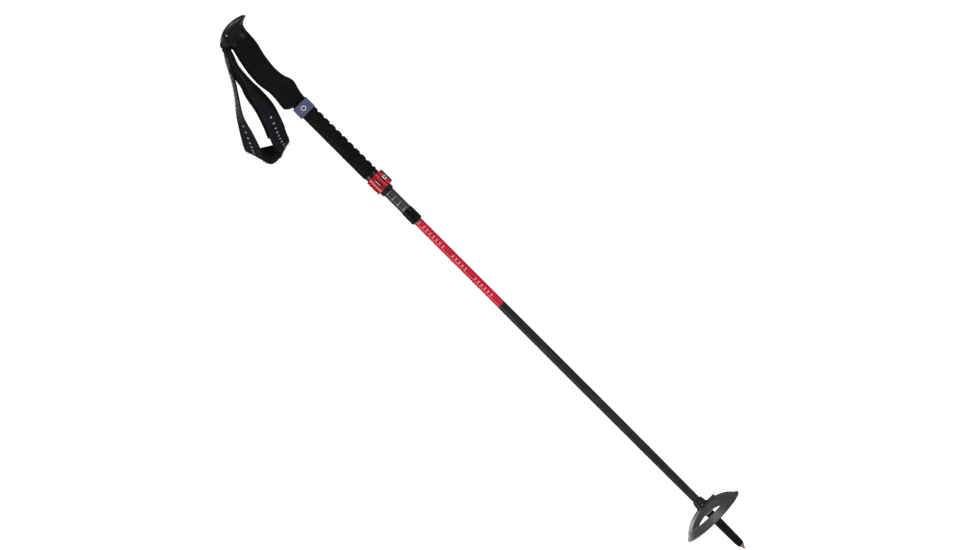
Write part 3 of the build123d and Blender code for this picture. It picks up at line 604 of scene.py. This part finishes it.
def eased(table, height):
    """Values at a height, on a smooth curve through the rows of a table that starts each row with its height."""
    rows = sorted(table)
    if height <= rows[0][0]:
        return rows[0][1:]
    if height >= rows[-1][0]:
        return rows[-1][1:]
    i = max(k for k in range(len(rows)) if rows[k][0] <= height)
    before, low, high, after = rows[max(i - 1, 0)], rows[i], rows[i + 1], rows[min(i + 2, len(rows) - 1)]
    t = (height - low[0]) / (high[0] - low[0])
    result = []
    for k in range(1, len(low)):
        slope_low = (high[k] - before[k]) / (high[0] - before[0]) * (high[0] - low[0])
        slope_high = (after[k] - low[k]) / (after[0] - low[0]) * (high[0] - low[0])
        curve = ((2 * t ** 3 - 3 * t ** 2 + 1) * low[k] + (t ** 3 - 2 * t ** 2 + t) * slope_low
                 + (3 * t ** 2 - 2 * t ** 3) * high[k] + (t ** 3 - t ** 2) * slope_high)
        result.append(curve)
    return result


def oval(angle, back, front, half, square=2.0):
    """A point on an oval from x = back to x = front; square above 2 fills out its corners."""
    c, s = math.cos(angle), math.sin(angle)
    x = math.copysign(abs(c) ** (2 / square), c)
    y = math.copysign(abs(s) ** (2 / square), s)
    return (back + front) / 2 + x * (front - back) / 2, y * half


def spread(low, high, count):
    return [low + (high - low) * i / (count - 1) for i in range(count)]


# %% [markdown]
# ## Hand grip
# On the real pole this is a block of dense foam, shaped for the hand: a heel at the bottom, a hollow for
# the fingers at the front, a swell in the palm, and a lean towards the beak at the top. The table holds
# the heights where the outline turns, and the curve between them does the rest. The ends are rolled in so
# that the foam meets the head and the band with a soft edge.

# %% Hand grip
GRIP_TABLE = [
    # millimetres above the underside: back, front, half width, fullness
    (0.0, -12.2, 10.9, 11.6, 2.0),
    (2.5, -17.5, 11.4, 13.0, 2.0),
    (7.0, -21.6, 11.8, 14.2, 2.1),
    (14.0, -21.6, 13.3, 14.8, 2.2),
    (25.0, -20.2, 16.2, 15.4, 2.2),
    (32.0, -19.9, 15.2, 15.2, 2.2),
    (40.0, -20.1, 12.2, 14.8, 2.2),
    (50.0, -21.8, 10.6, 14.8, 2.3),
    (60.0, -22.6, 10.4, 15.0, 2.3),
    (80.0, -21.2, 13.0, 14.9, 2.3),
    (101.0, -17.2, 17.9, 14.4, 2.2),
    (116.0, -13.4, 19.0, 13.4, 2.1),
]


def on_grip(angle, height):
    back, front, half, square = eased(GRIP_TABLE, height)
    x, y = oval(angle, back, front, half, square)
    return Vector((x * MM, y * MM, GRIP_LOW + height * MM))


grip_span = (GRIP_HIGH - GRIP_LOW) / MM
grip_heights = [0.0, 0.4, 1.0, 1.8, 2.6] + spread(4.0, grip_span, 46)
grip = finished(stacked(grip_heights, on_grip, 72), "hand_grip_foam", 60)
grip.data.materials.append(FINISHES["grip_foam"])
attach(grip, "handle")
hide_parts("grip_body")
print("grip faces", len(grip.data.polygons))

# %% [markdown]
# ## Head and cap
# The head is hard plastic that carries the palm when the pole is pushed from the top. It widens upwards
# into a beak at the front and a shelf at the back, and the cap lies on it like a thin shell, higher over
# the beak than over the shelf. Both are built flat and then dropped by the same small curve along X, so
# they always meet.

# %% Head and cap
HEAD_LOW = GRIP_HIGH
CAP_BOX_LOW, CAP_BOX_HIGH = box("head_cap")
CAP_MID = (CAP_BOX_LOW.x + CAP_BOX_HIGH.x) / 2
CAP_HALF = (CAP_BOX_HIGH.x - CAP_BOX_LOW.x) / 2
CAP_SIDE = across("head_cap")
RIM_Z = CAP_BOX_LOW.z - 0.0005
DROP_MIDDLE = 0.009


def drop(x):
    """How far the rim lies below its height over the middle of the head."""
    away = x - DROP_MIDDLE
    return (8.5 if away < 0 else 3.2) * away * away


HEAD_TABLE = [
    # share of the height up to the rim: back, front, half width in millimetres
    (0.0, -13.4, 19.0, 13.4),
    (0.12, -14.6, 19.2, 13.6),
    (0.24, -17.2, 19.3, 13.9),
    (0.36, -20.6, 19.6, 14.4),
    (0.50, -22.6, 20.3, 15.1),
    (0.66, -23.4, 21.6, 16.1),
    (0.82, -23.6, 24.6, 17.4),
    (0.93, -23.4, 28.6, 18.2),
    (1.0, -22.8, 31.4, 18.2),
]


def on_head(angle, share):
    back, front, half = eased(HEAD_TABLE, share)
    x, y = oval(angle, back * MM, front * MM, half * MM, 2.15)
    return Vector((x, y, HEAD_LOW + share * (RIM_Z - HEAD_LOW) - share * drop(x)))


head = finished(stacked(spread(0.0, 1.0, 22), on_head, 72), "grip_head_shell", 50)
head.data.materials.append(FINISHES["head_plastic"])
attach(head, "handle")
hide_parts("grip_head")

CAP_TABLE = [
    # share of the way round the section: inset from the edge, height over the rim, in millimetres
    (0.00, 1.4, 0.0),
    (0.10, 0.2, 0.3),
    (0.20, 0.0, 1.4),
    (0.30, 0.7, 2.9),
    (0.42, 3.0, 4.4),
    (0.60, 9.0, 6.0),
    (0.80, 17.0, 7.2),
    (1.00, 26.5, 7.8),
]


def on_cap(angle, share):
    inset, lift = eased(CAP_TABLE, share)
    back = CAP_MID - CAP_HALF + inset * MM
    front = CAP_MID + CAP_HALF - inset * MM
    half = max(CAP_SIDE - inset * MM * CAP_SIDE / CAP_HALF, 0.0006)
    x, y = oval(angle, back, front, half, 2.15)
    return Vector((x, y, RIM_Z + lift * MM - drop(x)))


cap_shares = [0.0, 0.05, 0.1, 0.15, 0.2, 0.25, 0.3, 0.36] + spread(0.42, 1.0, 12)
cap = finished(stacked(cap_shares, on_cap, 72), "cap_shell", 50)
cap.data.materials.append(FINISHES["cap_plastic"])
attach(cap, "handle")
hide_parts("head_cap")
print("cap top", round(max(v.co.z for v in cap.data.vertices), 4), "frame crown", round(CROWN, 4))

# %% [markdown]
# ## Foam sleeve
# Below the grip a longer foam sleeve lets the hand slide down on a steep slope. Grooves cross its front so
# that a glove holds, and its back is smooth. A row of rounded grooves in the formula for its radius
# makes them, fading out round the sides.

# %% Foam sleeve
GROOVES = 10
GROOVE_PITCH = 0.0119
GROOVE_START = FOAM_LOW + 0.0062
GROOVE_DEPTH = 0.0018


def on_sleeve(angle, z):
    nearest = round((z - GROOVE_START) / GROOVE_PITCH)
    nearest = min(max(nearest, 0), GROOVES - 1)
    away = abs(z - GROOVE_START - nearest * GROOVE_PITCH) / 0.0024
    cut = max(0.0, 1.0 - away * away) * GROOVE_DEPTH
    facing = min(1.0, max(0.0, (math.cos(angle) + 0.25) / 0.6))
    end = min(z - FOAM_LOW, GRIP_LOW - z)
    rolled = 0.0011 * max(0.0, 1 - end / 0.0016) ** 2
    radius = FOAM_R - 0.0002 - cut * facing - rolled
    return Vector((radius * math.cos(angle), radius * math.sin(angle), z))


sleeve_heights = spread(FOAM_LOW, GRIP_LOW, 190)
sleeve_bm = stacked(sleeve_heights, on_sleeve, 56)
sleeve = finished(sleeve_bm, "foam_sleeve_grooved", 60)
sleeve.data.materials.append(FINISHES["grip_foam"])
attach(sleeve, "handle")
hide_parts("foam_sleeve")

# %% [markdown]
# ## Keeper band
# A strip of hook tape goes round the foam and closes on itself, and ties the sections together when the
# pole is folded. The strip is a flat grid rolled up: its own length runs round the sleeve for a little
# more than one turn, each layer lies on the one below, and the loose end stands off as a pull tab.

# %% Keeper band
BAND_TURNS = 1.33
LAYER_FROM = 0.93
TAB_FROM = 1.17
TAPE = 0.0013
BAND_START = math.radians(250)


def rolled(u, v):
    """A point on the rolled strip: u from its inner end to its loose end, v up its width."""
    angle = BAND_START - u * BAND_TURNS * 2 * math.pi
    past = max(0.0, u * BAND_TURNS - LAYER_FROM)
    layer = min(1.0, past / 0.1)
    lifted = max(0.0, u * BAND_TURNS - TAB_FROM) / 0.16
    radius = FOAM_R + TAPE * 0.55 + layer * TAPE * 1.1 + 0.0022 * lifted * lifted
    z = BAND_LOW + v * (BAND_HIGH - BAND_LOW)
    return Vector((radius * math.cos(angle), radius * math.sin(angle), z))


def cloth_map(bm, width, length):
    """Puts a UV map in metres on a grid made by create_grid, before it is bent."""
    uv = bm.loops.layers.uv.new("cloth")
    for face in bm.faces:
        for loop in face.loops:
            u, v = (loop.vert.co.x + 1) / 2, (loop.vert.co.y + 1) / 2
            loop[uv].uv = (u * length, v * width)


def bent_strip(columns, rows, width, length, shape):
    """A grid with a UV map, its vertices moved by shape(u, v)."""
    bm = bmesh.new()
    bmesh.ops.create_grid(bm, x_segments=columns, y_segments=rows, size=1)
    cloth_map(bm, width, length)
    for vert in bm.verts:
        vert.co = shape((vert.co.x + 1) / 2, (vert.co.y + 1) / 2)
    return bm


def thickened(bm, thickness):
    bmesh.ops.recalc_face_normals(bm, faces=bm.faces)
    bmesh.ops.solidify(bm, geom=bm.faces[:], thickness=thickness)
    bmesh.ops.recalc_face_normals(bm, faces=bm.faces)
    return bm


band_length = BAND_TURNS * 2 * math.pi * FOAM_R
band_bm = bent_strip(120, 8, BAND_HIGH - BAND_LOW, band_length, rolled)
band = finished(thickened(band_bm, TAPE), "keeper_band_tape", 50)
band.data.materials.append(FINISHES["band_fabric"])
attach(band, "handle")
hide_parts("keeper_band")
print("band length", round(band_length * 1000), "mm")

# %% [markdown]
# ## Wrist strap
# The strap is one length of webbing, 30 mm wide, whose two ends meet in the head. It hangs behind
# the grip: its two legs show nearly edge-on at the top, turn flat lower down, and the bottom of the loop
# leans away from the pole. Two rails, one for each edge of the webbing, say all of this. A grid is laid
# between the rails, and a pad bulges on its face between two rows of stitches.

# %% Rails of the strap
STRAP_WIDTH = 0.030
STRAP_RAILS = [
    # far edge x, z and near edge x, z, then how far the middle stands behind the pole's plane
    (-24, 1018, -18, 1015, 0), (-29, 1011, -23, 1008, 0), (-35, 1001, -31, 998, 0), (-47, 979, -44, 975, 0),
    (-60, 960, -57, 955, 0), (-74, 943, -70, 933, -1), (-85, 927, -77, 908, -2), (-94, 912, -83, 889, -3),
    (-99, 903, -88, 876, -2), (-101, 896, -92, 867, 2), (-94, 889, -91, 862, 7), (-84, 885, -89, 859, 9),
    (-76, 880, -86, 857, 10), (-68, 875, -81, 856, 9), (-59, 870, -76, 856, 7), (-51, 863, -71, 856, 4),
    (-46, 866, -68, 862, 1), (-43, 873, -67, 875, 0), (-39, 882, -63, 886, -1), (-33.5, 896, -56, 901, -1),
    (-27, 918, -48, 924, -1), (-25, 944, -42, 949, 0), (-25.5, 959, -36, 962, 0), (-25, 974, -33, 976, 0),
    (-23, 989, -31, 990, 0), (-18, 1002, -26, 1003, 0), (-13.5, 1015.5, -21, 1016, 0),
]


def along(points, t):
    """A point at share t of a smooth curve through evenly numbered points."""
    place = t * (len(points) - 1)
    return Vector(eased([(i, *p) for i, p in enumerate(points)], place))


def strap_rails(t):
    """The far and the near edge of the webbing at share t along the strap, in metres."""
    far_x, far_z, near_x, near_z, behind = along(STRAP_RAILS, t) * MM
    flat = min(math.hypot(far_x - near_x, far_z - near_z), STRAP_WIDTH * 0.985)
    neck = min(1.0, 0.55 + min(t, 1 - t) * 5)
    depth = math.sqrt(STRAP_WIDTH ** 2 - flat ** 2) / 2 * neck
    return Vector((far_x, behind + depth, far_z)), Vector((near_x, behind - depth, near_z))


def strap_frame(t):
    """Middle, half width and face direction of the webbing at share t."""
    outer, inner = strap_rails(t)
    before, after = strap_rails(max(t - 0.004, 0)), strap_rails(min(t + 0.004, 1))
    run = (after[0] + after[1] - before[0] - before[1]).normalized()
    half = (inner - outer) / 2
    return (outer + inner) / 2, half, run.cross(half).normalized()


lengths = [0.0]
for i in range(1, 401):
    a, b = strap_frame((i - 1) / 400)[0], strap_frame(i / 400)[0]
    lengths.append(lengths[-1] + (b - a).length)
STRAP_LENGTH = lengths[-1]
print("strap length", round(STRAP_LENGTH * 1000), "mm")

# %% Webbing and pad
WEBBING = 0.0018


material, tree, shader, place, colour = cloth("printed_webbing", *WEB_COLOURS, 1100, 0.0001, sheen=0.02)
parts = node(tree, "SeparateXYZ")
tree.links.new(place, parts.inputs[0])
reach, side, depth = parts.outputs
rows_of_bars = []
for start, end in ((5.6, 9.6), (15.2, 19.4)):
    share = STRAP_LENGTH / (len(STRAP_RAILS) - 1)
    rows_of_bars.append(within(tree, reach, (start + end) / 2 * share, (end - start) / 2 * share))
some_bar = math_node(tree, "MAXIMUM", *rows_of_bars)
WEB_BAR_PITCH = 0.0062
web_bars = repeat(tree, reach, WEB_BAR_PITCH, 0.0, BAR_HALF)
bars = times(tree, web_bars, within(tree, side, STRAP_WIDTH * 0.5, 0.0018), some_bar)
tree.links.new(mixed(tree, bars, colour, (0.35, 0.35, 0.38, 1)), shader.inputs["Base Color"])
FINISHES["printed_webbing"] = material


def on_webbing(u, v):
    middle, half, face = strap_frame(u)
    return middle + half * (2 * v - 1)


webbing_bm = bent_strip(260, 8, STRAP_WIDTH, STRAP_LENGTH, on_webbing)
webbing = finished(thickened(webbing_bm, WEBBING), "strap_webbing", 50)
webbing.data.materials.append(FINISHES["printed_webbing"])
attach(webbing, "wrist_strap")
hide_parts("strap_loop")

# %% [markdown]
# The pad is a thick, soft strip sewn to the inside of the loop. A long closed strip is made from one
# grid for its face and one for its back, which are joined round their open edges. It is thick along the
# leg nearest the grip, where the back of the hand rests, and thin along the other.

# %% Pad
LOOP_MIDDLE = Vector((-62, 0, 922)) * MM
middle, half, face = strap_frame(0.75)
INWARD = 1 if face.dot(LOOP_MIDDLE - middle) > 0 else -1


def pad_strip(name, start, end, rise, share):
    """A closed padded strip on the inner face of the webbing, from share start to share end of its length."""
    def place(outside):
        def point(u, v):
            middle, half, face = strap_frame(start + (end - start) * u)
            across_pad = 2 * v - 1
            near_end = min(1.0, min(u, 1 - u) * (end - start) / 0.012)
            crown = (1 - across_pad ** 8) * math.sqrt(max(0.0, 1 - (1 - near_end) ** 2))
            lift = WEBBING * 0.4 if outside else WEBBING * 0.7 + rise * (0.35 + 0.65 * crown)
            return middle + half * across_pad * share + face * INWARD * lift
        return point
    width, length = STRAP_WIDTH * share, STRAP_LENGTH * (end - start)
    bm = bent_strip(160, 14, width, length, place(True))
    back = bent_strip(160, 14, width, length, place(False))
    mesh = bpy.data.meshes.new("pad_back")
    back.to_mesh(mesh)
    back.free()
    bm.from_mesh(mesh)
    bpy.data.meshes.remove(mesh)
    bmesh.ops.bridge_loops(bm, edges=[e for e in bm.edges if e.is_boundary])
    outward(bm)
    obj = finished(bm, name, 60)
    obj.data.materials.append(FINISHES["strap_face"])
    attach(obj, "wrist_strap")
    return obj


thick_pad = pad_strip("strap_pad_hand_side", 0.69, 0.93, 0.0078, 1.1)
thin_pad = pad_strip("strap_pad_far_side", 0.055, 0.33, 0.0021, 0.9)
print("pads", len(thick_pad.data.polygons), len(thin_pad.data.polygons), "inward", INWARD)

# %% [markdown]
# ### Fold at the mouth
# Both ends of the webbing go over each other into the head, and the loop swings about this fold. A short
# roll of webbing closes the gap between the loop and the head. It is a stack of rings like the grip, laid
# along Y, a little smaller towards its ends.

# %% Fold and the webbing inside the head
FOLD_HALF = 0.0105


def on_fold(angle, side):
    swell = 1 - 0.25 * abs(side) ** 6
    return PIVOT + Vector((0.0034 * swell * math.cos(angle), side * FOLD_HALF, 0.0038 * swell * math.sin(angle)))


FOLD_SIDES = [-1, -0.97, -0.88, -0.6, -0.3, 0, 0.3, 0.6, 0.88, 0.97, 1]
fold = finished(stacked(FOLD_SIDES, on_fold, 24), "strap_fold", 50)


def wrapped_map(obj, width):
    """A UV map in metres for a round piece: the turn about Y, and the place along Y."""
    layer = obj.data.uv_layers.new(name="cloth")
    for loop in obj.data.loops:
        co = obj.data.vertices[loop.vertex_index].co - PIVOT
        layer.data[loop.index].uv = (math.atan2(co.z, co.x) * width, co.y)


wrapped_map(fold, 0.0036)
fold.data.materials.append(FINISHES["webbing"])
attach(fold, "wrist_strap")

PIN = (box("strap_pin")[0] + box("strap_pin")[1]) / 2
PIN.y = 0.0
PIN_NEAR = 0.004
PIN_SUNK = 0.0006
PIN_END_WIDE, PIN_END_SMALL, PIN_END_LONG = 0.00115, 0.0009, 0.003
near_pin = [v.co.y for v in head.data.vertices if (Vector((v.co.x, 0, v.co.z)) - PIN).length < PIN_NEAR]
PIN_END_Y = min(near_pin) + PIN_SUNK
END_HALF = 0.0078
END_RADIUS = (box("strap_pin")[1].z - box("strap_pin")[0].z) / 2 + 0.0003


def on_strap_end(u, v):
    """Once round the strap pin and then straight down to the fold, as one strip."""
    down = (PIVOT - PIN).normalized()
    side = Vector((-down.z, 0, down.x))
    y = (2 * v - 1) * END_HALF
    if u < 0.5:
        turn = math.pi * 2 * u - math.pi / 2
        return PIN - down * math.cos(turn) * END_RADIUS + side * math.sin(turn) * END_RADIUS + Vector((0, y, 0))
    reach = (u - 0.5) * 2 * ((PIVOT - PIN).length - 0.0045)
    return PIN + down * reach + side * END_RADIUS + Vector((0, y, 0))


pin_end_bm = bmesh.new()
bmesh.ops.create_cone(pin_end_bm, cap_ends=True, segments=24, radius1=PIN_END_WIDE, radius2=PIN_END_SMALL,
                      depth=PIN_END_LONG)
bmesh.ops.rotate(pin_end_bm, verts=pin_end_bm.verts, matrix=Matrix.Rotation(math.radians(90), 3, "X"))
bmesh.ops.translate(pin_end_bm, verts=pin_end_bm.verts, vec=(PIN.x, PIN_END_Y, PIN.z))
pin_end = finished(pin_end_bm, "strap_pin_end", 30)
pin_end.data.materials.append(FINISHES["pin_end"])
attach(pin_end, "handle")

end_bm = bent_strip(60, 4, 2 * END_HALF, 0.03, on_strap_end)
strap_end = finished(thickened(end_bm, 0.0011), "strap_end_web", 50)
strap_end.data.materials.append(FINISHES["webbing"])
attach(strap_end, "handle")
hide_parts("strap_end")

# %% [markdown]
# ### Stitches
# Two rows of thread run along the edges of the webbing. A stitch is a small six-sided bar that lies along
# its row, so it has only a few faces. All of them are built into one piece.

# %% Stitch rows
STITCH_PITCH = 0.0034
STITCH_LENGTH = 0.0024
STITCH_R = 0.00028


def add_stitch(bm, place, run, up):
    made = bmesh.ops.create_cone(bm, cap_ends=True, segments=6, radius1=STITCH_R, radius2=STITCH_R,
                                 depth=STITCH_LENGTH)
    aside = run.cross(up).normalized()
    turn = Matrix((aside, up, run)).transposed()
    bmesh.ops.rotate(bm, verts=made["verts"], matrix=turn)
    bmesh.ops.translate(bm, verts=made["verts"], vec=place)


stitch_bm = bmesh.new()
stitches = int(STRAP_LENGTH / STITCH_PITCH)
for i in range(stitches):
    t = (i + 0.5) / stitches
    if t < 0.06 or t > 0.92:
        continue
    middle, half, face = strap_frame(t)
    ahead = strap_frame(min(t + 0.002, 1))
    for edge in (-0.84, 0.84):
        place = middle + half * edge
        run = (ahead[0] + ahead[1] * edge - place).normalized()
        up = (face - run * face.dot(run)).normalized()
        add_stitch(stitch_bm, place - up * INWARD * (WEBBING * 0.5 + 0.00018), run, up)
stitching = finished(stitch_bm, "strap_stitches", 50)
stitching.data.materials.append(FINISHES["thread"])
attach(stitching, "wrist_strap")
print("stitch faces", len(stitching.data.polygons))

# %% [markdown]
# ## Rounded edges on the hard parts
# The lever, the clamp, the collar and the basket have their true shape in CAD, but real mouldings and
# tumbled metal have no knife edges. Each is copied: the copy's loose triangles are merged, flat
# neighbours are joined into whole faces, and only the sharp edges that are left get a small bevel. The
# bevel catches the light along every edge, which is what makes a part look made.

# %% Soften a copy of a CAD node
def softened(node_name, width, segments=2, angle=28.0):
    bm = bmesh.new()
    bm.from_mesh(frame["nodes"][node_name].data)
    bmesh.ops.remove_doubles(bm, verts=bm.verts, dist=1e-5)
    bmesh.ops.dissolve_limit(bm, angle_limit=math.radians(0.6), verts=bm.verts, edges=bm.edges)
    sharp = [e for e in bm.edges if len(e.link_faces) == 2 and e.calc_face_angle(0) > math.radians(angle)]
    bmesh.ops.bevel(bm, geom=sharp, offset=width, offset_type="OFFSET", segments=segments, profile=0.5,
                    affect="EDGES", clamp_overlap=True, material=-1)
    bmesh.ops.remove_doubles(bm, verts=bm.verts, dist=1e-7)
    return bm


def dressed(bm, name, node_name, body, finish_name, angle=40.0):
    obj = finished(bm, name, angle)
    obj.data.materials.append(FINISHES[finish_name])
    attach(obj, body)
    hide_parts(node_name)
    return obj


lever = dressed(softened("clamp_lever", 0.0003, 1), "lever_rounded", "clamp_lever", "clamp_lever",
                "red_anodised")
clamp = dressed(softened("clamp_body", 0.0004), "clamp_rounded", "clamp_body", "handle",
                "clamp_plastic")
collar = dressed(softened("end_collar", 0.0003), "collar_rounded", "end_collar", "marked_section", "black_plastic")
for piece in (lever, clamp, collar):
    print(piece.name, len(piece.data.polygons), "faces")

# %% [markdown]
# ## Snow basket
# The basket keeps the pole from sinking in snow. It is one flexible moulding: two wings on a hub, a band in
# front and a notch behind. The rounded CAD shape is kept, and the hub gets a smoother, darker finish,
# because it is a harder plastic moulded into the wings.

# %% Basket
HUB_OUT = 0.0104
basket = dressed(softened("basket", 0.00035), "snow_basket", "basket", "basket",
                 "basket_plastic", 35)
basket.data.materials.append(FINISHES["hub_plastic"])
for face in basket.data.polygons:
    if math.hypot(face.center.x, face.center.y) < HUB_OUT:
        face.material_index = 1
print("basket faces", len(basket.data.polygons))

# %% [markdown]
# ## Mark on the band
# A small pale ring is printed on the band as a plain decoration. It is a flat ring of faces laid on the
# round of the tape and given a little thickness.

# %% Ring on the band
RING_IN, RING_OUT = 0.0024, 0.0038
MARK_RADIUS = FOAM_R + TAPE * 2.2 + 0.0001


def on_ring(u, v):
    r = RING_IN + (RING_OUT - RING_IN) * v
    turn = 2 * math.pi * u
    angle = -math.pi / 2 - 0.08 + r * math.cos(turn) / MARK_RADIUS
    z = (BAND_LOW + BAND_HIGH) / 2 + r * math.sin(turn)
    return Vector((MARK_RADIUS * math.cos(angle), MARK_RADIUS * math.sin(angle), z))


ring_bm = bent_strip(40, 2, RING_OUT - RING_IN, 0.02, on_ring)
bmesh.ops.remove_doubles(ring_bm, verts=ring_bm.verts, dist=1e-6)
band_mark = finished(thickened(ring_bm, 0.0003), "band_mark", 40)
band_mark.data.materials.append(FINISHES["pale_mark"])
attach(band_mark, "handle")
